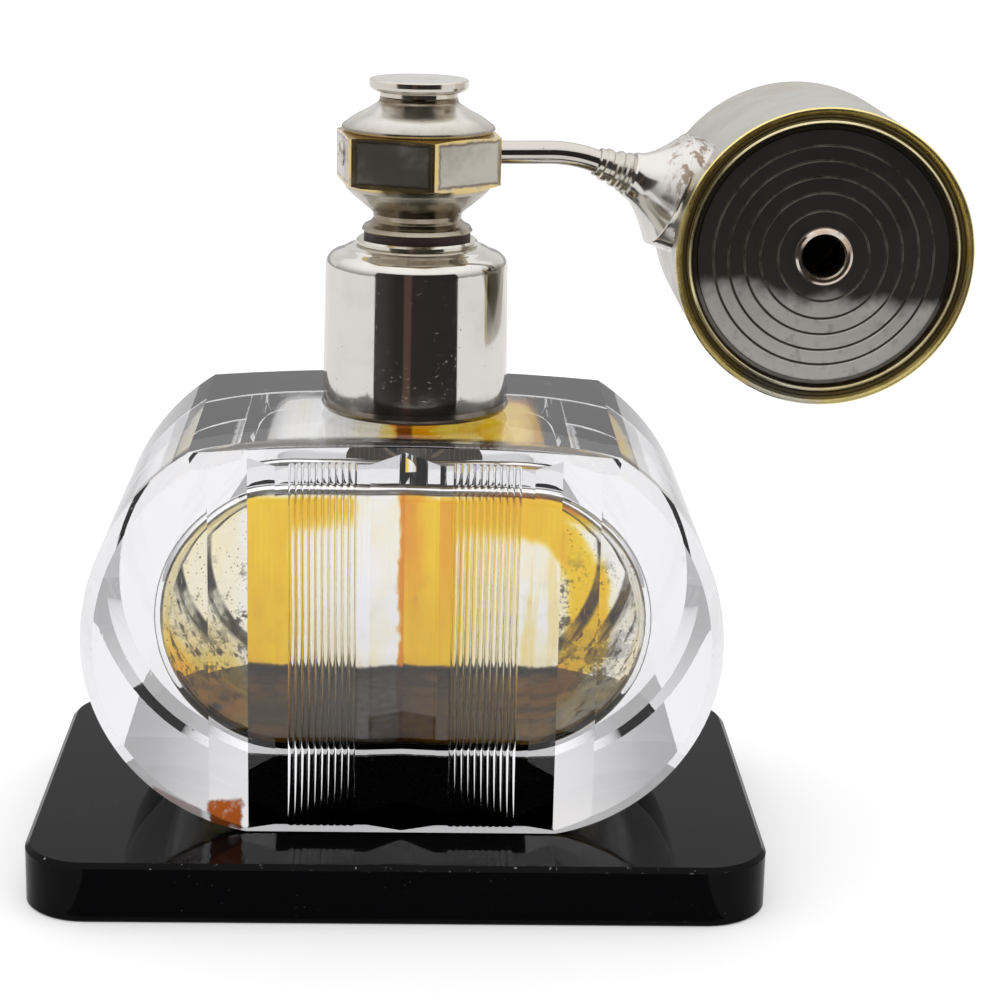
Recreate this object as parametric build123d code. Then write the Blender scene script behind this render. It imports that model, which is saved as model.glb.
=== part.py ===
from build123d import *
import math
import os

# Perfume atomiser: a crystal bottle on a black glass plate, with a screwed-in
# spray head and a drum-shaped thumb pump on the end of an air tube.
# Millimetres, +Z up. The origin is the centre of the plate's underside and the
# drum's grooved disc faces -Y.

# ---------------------------------------------------------------- plate
BASE_WIDTH = 114.3
BASE_DEPTH = 76.2
BASE_THICKNESS = 9.5
BASE_CORNER_R = 10.0
BASE_BEVEL = 0.75
CEMENT = 0.15

# ---------------------------------------------------------------- bottle
BLOCK_X = 0.5
BLOCK_Y = 2.0
BLOCK_BOTTOM = BASE_THICKNESS + CEMENT
BLOCK_HALF_WIDTH = 49.1
BLOCK_HALF_DEPTH = 29.2
BLOCK_WAIST_Z = 40.0
BLOCK_FOOT_HALF = 24.0
SHOULDER_X = 32.5
SHOULDER_Z = 70.1
BLOCK_TOP = 71.4
BLOCK_BEVEL = 2.1
CUT_REACH = 90.0

# Cuts down the front face: V cuts at the middle and near each side, and a band
# of fine flutes between them.
CENTRE_V_HALF = 5.2
CENTRE_V_DEPTH = 1.5
SIDE_V_INNER = 19.4
SIDE_V_MIDDLE = 23.6
SIDE_V_OUTER = 29.5
SIDE_V_DEPTH = 1.15
FLUTE_FIRST = 7.7
FLUTE_LAST = 16.9
FLUTE_COUNT = 10
FLUTE_R = 0.55
FLUTE_DEPTH = 0.34

CAVITY_WIDTH = 77.0
CAVITY_HEIGHT = 43.0
CAVITY_FLOOR = 21.0
CAVITY_DEPTH = 37.0
CAVITY_ROUND = 2.5

# ---------------------------------------------------------------- neck and collar
NECK_X = 1.8
NECK_Y = 2.0
NECK_R = 10.5
NECK_BORE_R = 5.2
NECK_TOP = 89.0
COLLAR_BOTTOM = 71.75
COLLAR_WALL = 0.9
COLLAR_SHOULDER_Z = 97.5
LIP_TOP = 98.6
LIP_R = 9.5
BUSH_R = 8.6
BUSH_BORE_R = 6.3
BUSH_BOTTOM = 90.0
THREAD_CLEARANCE = 0.08
THREAD_PITCH = 1.0
THREAD_DEPTH = 0.45

# ---------------------------------------------------------------- head
ARM_TURN = 9.5
WASHER_TOP = 99.7
WASHER_R = 8.35
FLANGE_R = 8.7
STUB_BOTTOM = 91.5
HEX_FLATS = 23.8
HEX_BOTTOM = 107.4
HEX_TOP = 115.2
HEX_CORNER_R = 0.9
JET_Z = 111.85
WELL_R = 1.9
WELL_BOTTOM = 103.0
SEAT_R = 0.5
CHAMBER_R = 3.0
CHAMBER_TOP = 101.0
AIR_BORE_R = 1.2
NOZZLE_R = 2.0
NOZZLE_SEAT = 4.9
NOZZLE_PROUD = 0.6
ORIFICE_R = 0.3
DIP_OFFSET = -1.6
DIP_R = 1.2
DIP_BORE_R = 0.7
DIP_FOOT = 22.8
DIP_HEAD = 95.0

# ---------------------------------------------------------------- dome and knob
DOME_R = 11.95
DOME_TOP = 120.45
DOME_FOOT_Z = 115.75
DOME_WAIST_R = 6.1
SPIGOT_R = 5.5
SPIGOT_DEPTH = 1.5
STEM_R = 2.5
KNOB_SEAM = 0.25
KNOB_R = 7.7
KNOB_TOP = 123.3
NEEDLE_R = 0.8

# ---------------------------------------------------------------- air tube and horn
TUBE_R = 1.85
TUBE_BORE_R = 1.1
TUBE_BEND_AT = 24.6
TUBE_BEND_R = 22.5
TUBE_DROP = 20.4
TUBE_SOCKET = 1.5
HORN_START = 33.8
HORN_Z = JET_Z - (HORN_START - TUBE_BEND_AT) * math.tan(math.radians(TUBE_DROP))
HORN_FOOT_R = 9.3
HORN_FOOT_END = 13.0
HORN_WALL = 0.9
UNION_END = -5.6

# ---------------------------------------------------------------- drum pump
DRUM_X = 65.7
DRUM_FRONT_Y = -1.75
DRUM_Z = 97.0
DRUM_R = 23.5
DRUM_DEPTH = 39.9
DRUM_WALL = 0.8
DRUM_BACK = 1.0
DRUM_EDGE_ROUND = 1.6
RIM_LIP = 0.7
INLET_T = 16.8
INLET_R = 1.5
DISC_R = 20.6
DISC_FRONT = 1.9
DISC_THICKNESS = 1.2
GROOVE_RADII = (7.2, 10.0, 12.5, 15.05, 17.4)
GROOVE_WIDTH = 0.5
GROOVE_DEPTH = 0.28
EYELET_R = 4.7
EYELET_BARREL_R = 3.9
EYELET_BORE_R = 3.37
CUP_THICKNESS = 1.2
CUP_HEIGHT = 3.4
CUP_CLEARANCE = 0.05
PLATE_THICKNESS = 1.0
PLATE_R = 20.4
SPRING_R = 12.0
SPRING_WIRE = 1.2
SPRING_TURNS = 6.0
SEAT_THICKNESS = 0.6

neck_place = Location((NECK_X, NECK_Y, 0))
head_place = neck_place * Location((0, 0, 0), (0, 0, ARM_TURN))
# Drum frame: local Z runs from the grooved front (0) to the closed back.
drum_place = Location((DRUM_X, DRUM_FRONT_Y, DRUM_Z), (-90, 0, 0))

parts = {}


def turned(*outline, place=neck_place):
    """A closed outline of (radius, height) points, turned about the local Z axis."""
    face = make_face(Polyline(*[(r, 0, z) for r, z in outline], close=True))
    return place * revolve(face, Axis.Z)


def turned_lines(lines, place):
    """A closed wire of edges in the local XZ plane, turned about local Z."""
    return place * revolve(make_face(lines), Axis.Z)


def rod(radius, low, high, place=neck_place, x=0.0):
    """A round bar along the local Z axis."""
    return place * Location((x, 0, low)) * Cylinder(
        radius, high - low, align=(Align.CENTER, Align.CENTER, Align.MIN)
    )


def cross_rod(radius, start, end, z=JET_Z):
    """A round bar along the arm direction, through the head at height z."""
    bar = Cylinder(radius, end - start, align=(Align.CENTER, Align.CENTER, Align.MIN))
    return head_place * Location((start, 0, z), (0, 90, 0)) * bar


# ================================================================ plate
def make_base_plate():
    plate = extrude(RectangleRounded(BASE_WIDTH, BASE_DEPTH, BASE_CORNER_R), BASE_THICKNESS)
    plate = chamfer(plate.faces().sort_by(Axis.Z)[-1].edges(), BASE_BEVEL)
    return chamfer(plate.faces().sort_by(Axis.Z)[0].edges(), BASE_BEVEL / 2)


def make_base_cement():
    width = 2 * BLOCK_FOOT_HALF - 2.0
    depth = 2 * (BLOCK_HALF_DEPTH - BLOCK_BEVEL) - 2.0
    film = extrude(RectangleRounded(width, depth, 2.0), CEMENT)
    return Location((BLOCK_X, BLOCK_Y, BASE_THICKNESS)) * film


# ================================================================ bottle
def arc_radius(x_tangent, z_tangent, x_end, z_end):
    """Radius of the arc that is vertical at the waist and ends at the given point."""
    run = x_tangent - x_end
    rise = z_end - z_tangent
    return (run * run + rise * rise) / (2 * run)


def arc_middle(radius, z_end):
    """A point halfway round a side arc, between the waist and the given height."""
    centre_x = BLOCK_HALF_WIDTH - radius
    angle = math.asin((z_end - BLOCK_WAIST_Z) / radius) / 2
    return centre_x + radius * math.cos(angle), BLOCK_WAIST_Z + radius * math.sin(angle)


def block_outline():
    lower = arc_radius(BLOCK_HALF_WIDTH, BLOCK_WAIST_Z, BLOCK_FOOT_HALF, BLOCK_BOTTOM)
    upper = arc_radius(BLOCK_HALF_WIDTH, BLOCK_WAIST_Z, SHOULDER_X, SHOULDER_Z)
    low_x, low_z = arc_middle(lower, BLOCK_BOTTOM)
    high_x, high_z = arc_middle(upper, SHOULDER_Z)
    foot_right = (BLOCK_FOOT_HALF, BLOCK_BOTTOM)
    foot_left = (-BLOCK_FOOT_HALF, BLOCK_BOTTOM)
    waist_right = (BLOCK_HALF_WIDTH, BLOCK_WAIST_Z)
    waist_left = (-BLOCK_HALF_WIDTH, BLOCK_WAIST_Z)
    shoulder_right = (SHOULDER_X, SHOULDER_Z)
    shoulder_left = (-SHOULDER_X, SHOULDER_Z)
    lines = [
        Line(foot_left, foot_right),
        ThreePointArc(foot_right, (low_x, low_z), waist_right),
        ThreePointArc(waist_right, (high_x, high_z), shoulder_right),
        ThreePointArc(shoulder_right, (0, BLOCK_TOP), shoulder_left),
        ThreePointArc(shoulder_left, (-high_x, high_z), waist_left),
        ThreePointArc(waist_left, (-low_x, low_z), foot_left),
    ]
    return make_face(lines)


def front_cutter():
    """Material taken off the front face: V cuts and flutes, full height."""
    face_y = -BLOCK_HALF_DEPTH
    outside = face_y - 5.0
    edge = BLOCK_HALF_WIDTH + 5.0
    cuts = []
    centre = [(-CENTRE_V_HALF, face_y), (0, face_y + CENTRE_V_DEPTH), (CENTRE_V_HALF, face_y)]
    for side in (-1, 1):
        side_v = [
            (side * SIDE_V_INNER, face_y),
            (side * SIDE_V_MIDDLE, face_y + SIDE_V_DEPTH),
            (side * SIDE_V_OUTER, face_y),
            (side * SIDE_V_MIDDLE, outside),
        ]
        cuts.append(make_face(Polyline(*side_v, close=True)))
        for i in range(FLUTE_COUNT):
            x = FLUTE_FIRST + i * (FLUTE_LAST - FLUTE_FIRST) / (FLUTE_COUNT - 1)
            cuts.append(Pos(side * x, face_y - FLUTE_R + FLUTE_DEPTH) * Circle(FLUTE_R))
    cuts.append(make_face(Polyline(*centre, (0, outside), close=True)))
    front = Rectangle(2 * edge, 5.0, align=(Align.CENTER, Align.MAX))
    cuts.append(Pos(0, face_y) * front)
    return extrude(Sketch() + cuts, CUT_REACH)


def make_bottle():
    outline = block_outline()
    straight = BLOCK_HALF_DEPTH - BLOCK_BEVEL
    cap = Pos(0, 0, straight) * extrude(outline, BLOCK_BEVEL, taper=45)
    block = extrude(outline, straight, both=True) + cap + mirror(cap, Plane.XY)
    block = Location((0, 0, 0), (90, 0, 0)) * block - front_cutter()
    slot = SlotOverall(CAVITY_WIDTH, CAVITY_HEIGHT)
    cavity = extrude(Plane.XZ * slot, CAVITY_DEPTH / 2, both=True)
    cavity = fillet(cavity.faces().filter_by(Axis.Y).edges(), CAVITY_ROUND)
    cavity = Pos(0, 0, CAVITY_FLOOR + CAVITY_HEIGHT / 2) * cavity
    bottle = Location((BLOCK_X, BLOCK_Y, 0)) * (block - cavity)
    bottle = bottle + rod(NECK_R, BLOCK_TOP - 2.0, NECK_TOP)
    return bottle - rod(NECK_BORE_R, CAVITY_FLOOR + CAVITY_HEIGHT / 2, NECK_TOP + 1)


# ================================================================ collar
def make_neck_collar():
    wall = COLLAR_WALL
    outer = [
        (14.7, COLLAR_BOTTOM + 0.35),
        (14.85, COLLAR_BOTTOM + 0.7),
        (14.62, COLLAR_BOTTOM + 1.4),
        (14.6, COLLAR_BOTTOM + 3.0),
        (14.3, 94.4),
    ]
    shoulder = [(13.95, 95.55), (13.0, 96.35), (11.6, 96.9), (LIP_R + 0.6, COLLAR_SHOULDER_Z)]
    inner = [
        (BUSH_R, COLLAR_SHOULDER_Z),
        (BUSH_R, COLLAR_SHOULDER_Z - wall),
        (12.2, 95.4),
        (13.35, 94.0),
        (14.6 - wall, COLLAR_BOTTOM + 3.0),
        (14.6 - wall, COLLAR_BOTTOM),
        (14.5, COLLAR_BOTTOM),
    ]
    outline = [
        Polyline(*[(r, 0, z) for r, z in outer]),
        Spline(*[(r, 0, z) for r, z in [outer[-1], *shoulder]], tangents=[(0, 0, 1), (-1, 0, 0.2)]),
        Polyline(*[(r, 0, z) for r, z in [shoulder[-1], *inner, outer[0]]]),
    ]
    return turned_lines(outline, neck_place)


def make_neck_cement():
    return turned(
        (NECK_R, COLLAR_BOTTOM + 0.4),
        (14.6 - COLLAR_WALL, COLLAR_BOTTOM + 0.4),
        (14.6 - COLLAR_WALL, COLLAR_BOTTOM + 3.0),
        (13.44, 88.4),
        (NECK_R, 88.4),
    )


def make_neck_bush():
    """Threaded bush of the collar, with the rounded lip on which the washer lies."""
    lip = LIP_TOP - COLLAR_SHOULDER_Z
    return turned(
        (BUSH_BORE_R, BUSH_BOTTOM),
        (BUSH_R, BUSH_BOTTOM),
        (BUSH_R, COLLAR_SHOULDER_Z),
        (LIP_R - 0.25, COLLAR_SHOULDER_Z),
        (LIP_R, COLLAR_SHOULDER_Z + 0.3 * lip),
        (LIP_R, COLLAR_SHOULDER_Z + 0.7 * lip),
        (LIP_R - 0.3, LIP_TOP),
        (BUSH_BORE_R, LIP_TOP),
    )


def make_neck_seal():
    return rod(NECK_R - 0.1, NECK_TOP, BUSH_BOTTOM) - rod(NECK_BORE_R + 0.4, NECK_TOP - 1, BUSH_BOTTOM + 1)


# ================================================================ head
def make_head_washer():
    inner = BUSH_BORE_R + 0.2
    return turned((inner, LIP_TOP), (WASHER_R, LIP_TOP), (WASHER_R, WASHER_TOP), (inner, WASHER_TOP))


def stub_teeth():
    """Outline of the threaded stub: ring-shaped teeth, from the foot to the flange."""
    crest = BUSH_BORE_R - THREAD_CLEARANCE
    root = crest - THREAD_DEPTH
    teeth = [(root, STUB_BOTTOM)]
    count = int((WASHER_TOP - 1.2 - STUB_BOTTOM) / THREAD_PITCH)
    for i in range(count):
        low = STUB_BOTTOM + i * THREAD_PITCH
        teeth += [
            (root, low + 0.2),
            (crest, low + 0.45),
            (crest, low + 0.65),
            (root, low + 0.9),
        ]
    return teeth + [(root, WASHER_TOP)]


def make_head_body():
    flat_r = HEX_FLATS / 2
    lower = turned(
        (0, STUB_BOTTOM),
        *stub_teeth(),
        (FLANGE_R - 0.3, WASHER_TOP),
        (FLANGE_R, WASHER_TOP + 0.3),
        (FLANGE_R - 0.35, WASHER_TOP + 0.9),
        (7.6, WASHER_TOP + 1.25),
        (7.1, WASHER_TOP + 1.7),
        (6.85, WASHER_TOP + 2.1),
        (6.95, 102.5),
        (7.35, 103.05),
        (8.5, 104.0),
        (10.2, 105.4),
        (11.2, 106.4),
        (flat_r - 0.1, HEX_BOTTOM + 0.2),
        (0, HEX_BOTTOM + 0.2),
        place=head_place,
    )
    hexagon = RegularPolygon(flat_r, 6, major_radius=False)
    prism = extrude(hexagon, HEX_TOP - HEX_BOTTOM)
    prism = fillet(prism.edges().filter_by(Axis.Z), HEX_CORNER_R)
    prism = head_place * Location((0, 0, HEX_BOTTOM), (0, 0, 30)) * prism
    corner = HEX_FLATS / math.sqrt(3)
    envelope = turned(
        (0, HEX_BOTTOM),
        (corner - 0.9, HEX_BOTTOM),
        (corner + 0.1, HEX_BOTTOM + 0.35),
        (corner + 0.1, HEX_TOP - 0.35),
        (DOME_R - 0.2, HEX_TOP),
        (0, HEX_TOP),
        place=head_place,
    )
    body = lower + (prism & envelope)
    body = body - rod(CHAMBER_R, STUB_BOTTOM - 1, CHAMBER_TOP)
    body = body - rod(SEAT_R, CHAMBER_TOP - 1, WELL_BOTTOM + 1)
    body = body - rod(WELL_R, WELL_BOTTOM, HEX_TOP + 1)
    body = body - rod(SPIGOT_R, HEX_TOP - SPIGOT_DEPTH, HEX_TOP + 1)
    body = body - cross_rod(AIR_BORE_R, 0, flat_r)
    body = body - cross_rod(TUBE_R, flat_r - TUBE_SOCKET, flat_r + 1)
    body = body - cross_rod(NOZZLE_R, -flat_r - 1, -flat_r + NOZZLE_SEAT)
    return body - cross_rod(0.6, -flat_r + NOZZLE_SEAT - 1, 0)


def make_nozzle_tip():
    """Plug with a domed end and a fine hole, its threaded shank inside the hexagon."""
    flat_r = HEX_FLATS / 2
    outline = [
        (ORIFICE_R, 0),
        (1.2, 0),
        (1.2, 2.2),
        (NOZZLE_R, 2.9),
        (NOZZLE_R, NOZZLE_SEAT + 0.1),
        (1.75, NOZZLE_SEAT + 0.4),
        (1.2, NOZZLE_SEAT + NOZZLE_PROUD),
        (0.75, NOZZLE_SEAT + NOZZLE_PROUD),
        (ORIFICE_R, NOZZLE_SEAT + 0.2),
    ]
    seat = head_place * Location((-flat_r + NOZZLE_SEAT, 0, JET_Z), (0, -90, 0))
    return turned(*outline, place=seat)


def make_jet_tube():
    """Fine liquid tube from the well towards the nozzle's hole."""
    flat_r = HEX_FLATS / 2
    start = -flat_r + NOZZLE_SEAT
    return cross_rod(0.55, start, -WELL_R) - cross_rod(ORIFICE_R, start - 1, 0)


def make_siphon_ferrule():
    """Plug in the stub's foot that holds the dip tube a little off the axis."""
    outline = [
        (0, 88.0),
        (3.7, 88.0),
        (4.2, 88.5),
        (4.2, STUB_BOTTOM),
        (CHAMBER_R, STUB_BOTTOM),
        (CHAMBER_R, 95.5),
        (0, 95.5),
    ]
    plug = turned(*outline, place=head_place)
    hole = rod(DIP_R, 87, 97, head_place, DIP_OFFSET)
    return plug - hole


def make_dip_tube():
    tube = rod(DIP_R, DIP_FOOT, DIP_HEAD, head_place, DIP_OFFSET)
    return tube - rod(DIP_BORE_R, DIP_FOOT - 1, DIP_HEAD + 1, head_place, DIP_OFFSET)


def make_head_dome():
    outline = [
        Polyline(
            (STEM_R + THREAD_CLEARANCE, 0, HEX_TOP),
            (STEM_R + THREAD_CLEARANCE, 0, DOME_TOP),
            (DOME_WAIST_R, 0, DOME_TOP),
            (DOME_WAIST_R, 0, DOME_TOP - 0.35),
        ),
        Spline(
            (DOME_WAIST_R, 0, DOME_TOP - 0.35),
            (6.7, 0, 119.4),
            (8.1, 0, 118.5),
            (10.1, 0, 117.45),
            (11.6, 0, 116.35),
            (DOME_R, 0, DOME_FOOT_Z),
            tangents=[(0.15, 0, -1), (0.1, 0, -1)],
        ),
        Polyline(
            (DOME_R, 0, DOME_FOOT_Z),
            (DOME_R - 0.45, 0, HEX_TOP),
            (SPIGOT_R, 0, HEX_TOP),
            (SPIGOT_R, 0, HEX_TOP - SPIGOT_DEPTH),
            (WELL_R, 0, HEX_TOP - SPIGOT_DEPTH),
            (WELL_R, 0, HEX_TOP),
            (STEM_R + THREAD_CLEARANCE, 0, HEX_TOP),
        ),
    ]
    return turned_lines(outline, head_place)


def make_gland_packing():
    """Leather ring round the needle, at the top of the well."""
    top = HEX_TOP - 0.2
    return rod(WELL_R, top - 1.2, top) - rod(NEEDLE_R + CUP_CLEARANCE, top - 2, top + 1)


def make_shutoff_needle():
    return turned((0, WELL_BOTTOM - 0.73), (NEEDLE_R, WELL_BOTTOM + 0.52), (NEEDLE_R, 118.0), (0, 118.0))


def make_closure_knob():
    seam = DOME_TOP + KNOB_SEAM
    stem_foot = HEX_TOP + 0.3
    knob = turned(
        (0, stem_foot),
        (STEM_R, stem_foot),
        (STEM_R, seam),
        (6.05, seam),
        (6.05, 121.25),
        (6.6, 121.35),
        (7.2, 121.6),
        (KNOB_R - 0.08, 122.0),
        (KNOB_R, 122.4),
        (KNOB_R, KNOB_TOP - 0.2),
        (KNOB_R - 0.2, KNOB_TOP),
        (0, KNOB_TOP),
    )
    return knob - rod(NEEDLE_R + CUP_CLEARANCE, stem_foot - 1, 118.05)


# ================================================================ air tube and horn
def sloped(distance):
    """Frame on the sloping axis of tube and horn: local Z runs towards the drum."""
    drop = math.radians(TUBE_DROP)
    x = HORN_START + distance * math.cos(drop)
    z = HORN_Z - distance * math.sin(drop)
    return head_place * Location((x, 0, z), (0, 90 + TUBE_DROP, 0))


def make_air_tube():
    drop = math.radians(TUBE_DROP)
    start = HEX_FLATS / 2 - TUBE_SOCKET
    tail = 9.0
    end = (TUBE_BEND_AT + tail * math.cos(drop), JET_Z - tail * math.sin(drop))
    points = [(start, 0, JET_Z), (TUBE_BEND_AT, 0, JET_Z), (end[0], 0, end[1])]
    path = FilletPolyline(*points, radius=TUBE_BEND_R)
    ring = Circle(TUBE_R) - Circle(TUBE_BORE_R)
    return head_place * sweep(Plane((start, 0, JET_Z), z_dir=(1, 0, 0)) * ring, path)


def make_tube_union():
    """Turned union with beads, between the tube's end and the horn's mouth."""
    bore = TUBE_R + 0.05
    return turned(
        (bore, UNION_END),
        (2.2, UNION_END),
        (2.3, -5.4),
        (2.3, -4.7),
        (2.6, -4.5),
        (2.65, -3.7),
        (2.45, -3.4),
        (2.5, -2.9),
        (2.85, -2.6),
        (3.0, -2.1),
        (2.85, -1.7),
        (2.9, -1.3),
        (3.2, -1.0),
        (3.25, -0.6),
        (2.95, -0.35),
        (2.95, 0),
        (bore, 0),
        place=sloped(0),
    )


def make_pump_horn():
    """Trumpet from the union to the drum's side, cut to the drum's curve."""
    outer = [(3.7, 0.35), (3.95, 1.3), (4.9, 2.8), (6.6, 4.6), (8.2, 6.0), (9.0, 6.7)]
    inner = [(TUBE_R, 0.6), (2.7, 1.9), (3.9, 3.5), (5.6, 5.3), (7.2, 6.8), (7.9, 7.6)]
    lines = [
        Polyline((TUBE_R, 0, 0.6), (TUBE_R, 0, 0), (3.45, 0, 0), (3.7, 0, 0.35)),
        Spline(*[(r, 0, z) for r, z in outer]),
        Polyline(
            (9.0, 0, 6.7),
            (HORN_FOOT_R - 0.1, 0, 6.8),
            (HORN_FOOT_R, 0, 7.0),
            (HORN_FOOT_R, 0, HORN_FOOT_END),
            (HORN_FOOT_R - HORN_WALL, 0, HORN_FOOT_END),
            (HORN_FOOT_R - HORN_WALL, 0, 8.3),
            (7.9, 0, 7.6),
        ),
        Spline(*[(r, 0, z) for r, z in reversed(inner)]),
    ]
    horn = turned_lines(lines, sloped(0))
    drum = rod(DRUM_R, -5, DRUM_DEPTH + 5, drum_place)
    return horn - drum


# ================================================================ drum pump
def make_drum_shell():
    outer = rod(DRUM_R, RIM_LIP, DRUM_DEPTH, drum_place)
    outer = fillet(outer.edges().sort_by(Axis.Y)[-1], DRUM_EDGE_ROUND)
    inner = rod(DRUM_R - DRUM_WALL, RIM_LIP - 1, DRUM_DEPTH - DRUM_BACK, drum_place)
    inner = fillet(inner.edges().sort_by(Axis.Y)[-1], DRUM_EDGE_ROUND - DRUM_WALL)
    shell = outer - inner
    hole_y = DRUM_FRONT_Y + INLET_T
    drop = math.radians(TUBE_DROP)
    along = Vector(-math.cos(drop), 0, math.sin(drop))
    start = Vector(DRUM_X, hole_y, DRUM_Z) + along * (DRUM_R - 4)
    hole = Plane(start, z_dir=along) * Cylinder(INLET_R, 8, align=(Align.CENTER, Align.CENTER, Align.MIN))
    return shell - hole


def make_drum_rim():
    """Brass ring in the drum's mouth: outer lip, hollow between, and inner lip."""
    return turned(
        (DRUM_R - DRUM_WALL, RIM_LIP),
        (DRUM_R, RIM_LIP),
        (DRUM_R, 0.25),
        (DRUM_R - 0.2, 0.0),
        (DRUM_R - 0.5, 0.0),
        (DRUM_R - 0.75, 0.35),
        (22.2, 1.25),
        (21.8, 1.45),
        (21.5, 1.25),
        (21.4, 0.85),
        (21.1, 0.7),
        (20.95, 0.9),
        (20.95, 2.9),
        (DRUM_R - DRUM_WALL, 2.9),
        place=drum_place,
    )


def make_piston_disc():
    front = DISC_FRONT
    back = DISC_FRONT + DISC_THICKNESS
    outline = [(EYELET_BARREL_R, back), (EYELET_BARREL_R, front)]
    for radius in GROOVE_RADII:
        outline += [
            (radius - GROOVE_WIDTH / 2, front),
            (radius, front + GROOVE_DEPTH),
            (radius + GROOVE_WIDTH / 2, front),
        ]
    outline += [
        (DISC_R - 0.75, front),
        (DISC_R - 0.6, front + 0.25),
        (DISC_R - 0.1, front + 0.25),
        (DISC_R, front + 0.35),
        (DISC_R, back),
    ]
    return turned(*outline, place=drum_place)


def make_piston_eyelet():
    front = DISC_FRONT
    shank = DISC_FRONT + DISC_THICKNESS + CUP_THICKNESS + PLATE_THICKNESS + 1.4
    return turned(
        (EYELET_BORE_R, front - 0.3),
        (EYELET_BORE_R + 0.25, front - 0.6),
        (EYELET_BORE_R + 0.75, front - 0.7),
        (EYELET_R - 0.2, front - 0.5),
        (EYELET_R, front - 0.2),
        (EYELET_R, front),
        (EYELET_BARREL_R, front),
        (EYELET_BARREL_R, shank),
        (EYELET_BORE_R, shank),
        place=drum_place,
    )


def make_cup_leather():
    """Cup leather: flat base, and a skirt that seals on the drum's wall."""
    front = DISC_FRONT + DISC_THICKNESS
    skirt_r = DRUM_R - DRUM_WALL - CUP_CLEARANCE
    return turned(
        (EYELET_BARREL_R, front),
        (skirt_r - 0.5, front),
        (skirt_r, front + 0.5),
        (skirt_r, front + CUP_HEIGHT),
        (skirt_r - CUP_THICKNESS, front + CUP_HEIGHT),
        (skirt_r - CUP_THICKNESS, front + CUP_THICKNESS),
        (EYELET_BARREL_R, front + CUP_THICKNESS),
        place=drum_place,
    )


def make_cup_plate():
    front = DISC_FRONT + DISC_THICKNESS + CUP_THICKNESS
    plate = rod(PLATE_R, front, front + PLATE_THICKNESS, drum_place)
    return plate - rod(EYELET_BARREL_R, front - 1, front + 3, drum_place)


def make_eyelet_nut():
    front = DISC_FRONT + DISC_THICKNESS + CUP_THICKNESS + PLATE_THICKNESS
    nut = extrude(RegularPolygon(5.4, 6, major_radius=False), 1.3)
    return drum_place * Pos(0, 0, front) * nut - rod(EYELET_BARREL_R, front - 1, front + 3, drum_place)


def make_return_spring():
    front = DISC_FRONT + DISC_THICKNESS + CUP_THICKNESS + PLATE_THICKNESS + SPRING_WIRE / 2
    back = DRUM_DEPTH - DRUM_BACK - SEAT_THICKNESS - SPRING_WIRE / 2
    pitch = (back - front) / SPRING_TURNS
    helix = Helix(pitch, back - front, SPRING_R)
    start = Plane(helix @ 0, z_dir=helix % 0)
    coil = sweep(start * Circle(SPRING_WIRE / 2), helix)
    return drum_place * Pos(0, 0, front) * coil


def make_spring_seat():
    """Shallow dish on the inside of the drum's back that centres the spring."""
    floor = DRUM_DEPTH - DRUM_BACK
    return turned(
        (9.0, floor),
        (9.0, floor - 1.6),
        (9.6, floor - 1.6),
        (9.9, floor - SEAT_THICKNESS),
        (14.5, floor - SEAT_THICKNESS),
        (14.5, floor),
        place=drum_place,
    )


parts["base_plate"] = make_base_plate()
parts["base_cement"] = make_base_cement()
parts["bottle"] = make_bottle()
parts["neck_collar"] = make_neck_collar()
parts["neck_cement"] = make_neck_cement()
parts["neck_bush"] = make_neck_bush()
parts["neck_seal"] = make_neck_seal()
parts["head_washer"] = make_head_washer()
parts["head_body"] = make_head_body()
parts["nozzle_tip"] = make_nozzle_tip()
parts["jet_tube"] = make_jet_tube()
parts["siphon_ferrule"] = make_siphon_ferrule()
parts["dip_tube"] = make_dip_tube()
parts["head_dome"] = make_head_dome()
parts["gland_packing"] = make_gland_packing()
parts["shutoff_needle"] = make_shutoff_needle()
parts["closure_knob"] = make_closure_knob()
parts["air_tube"] = make_air_tube()
parts["tube_union"] = make_tube_union()
parts["pump_horn"] = make_pump_horn()
parts["drum_shell"] = make_drum_shell()
parts["drum_rim"] = make_drum_rim()
parts["piston_disc"] = make_piston_disc()
parts["piston_eyelet"] = make_piston_eyelet()
parts["cup_leather"] = make_cup_leather()
parts["cup_plate"] = make_cup_plate()
parts["eyelet_nut"] = make_eyelet_nut()
parts["return_spring"] = make_return_spring()
parts["spring_seat"] = make_spring_seat()

os.makedirs("parts", exist_ok=True)
for node, shape in parts.items():
    export_step(shape, f"parts/{node}.step")
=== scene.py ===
import math

import bpy
from mathutils import Matrix, Vector


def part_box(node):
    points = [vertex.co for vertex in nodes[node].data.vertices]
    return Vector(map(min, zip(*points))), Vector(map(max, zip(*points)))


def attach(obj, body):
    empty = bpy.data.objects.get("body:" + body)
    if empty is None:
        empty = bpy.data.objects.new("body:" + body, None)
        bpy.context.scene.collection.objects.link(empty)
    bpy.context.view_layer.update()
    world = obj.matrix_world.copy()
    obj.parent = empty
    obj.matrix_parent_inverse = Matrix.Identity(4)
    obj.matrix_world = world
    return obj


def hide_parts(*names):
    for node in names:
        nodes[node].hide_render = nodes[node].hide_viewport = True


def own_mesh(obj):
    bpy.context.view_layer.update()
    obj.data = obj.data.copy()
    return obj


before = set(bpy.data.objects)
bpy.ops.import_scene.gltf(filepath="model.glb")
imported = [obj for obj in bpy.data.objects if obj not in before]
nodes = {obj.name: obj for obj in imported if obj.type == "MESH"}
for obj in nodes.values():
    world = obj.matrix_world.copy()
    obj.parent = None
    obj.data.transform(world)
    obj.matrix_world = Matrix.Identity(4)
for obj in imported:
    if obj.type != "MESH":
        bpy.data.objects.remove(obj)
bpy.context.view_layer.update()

MM = 0.001


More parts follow.
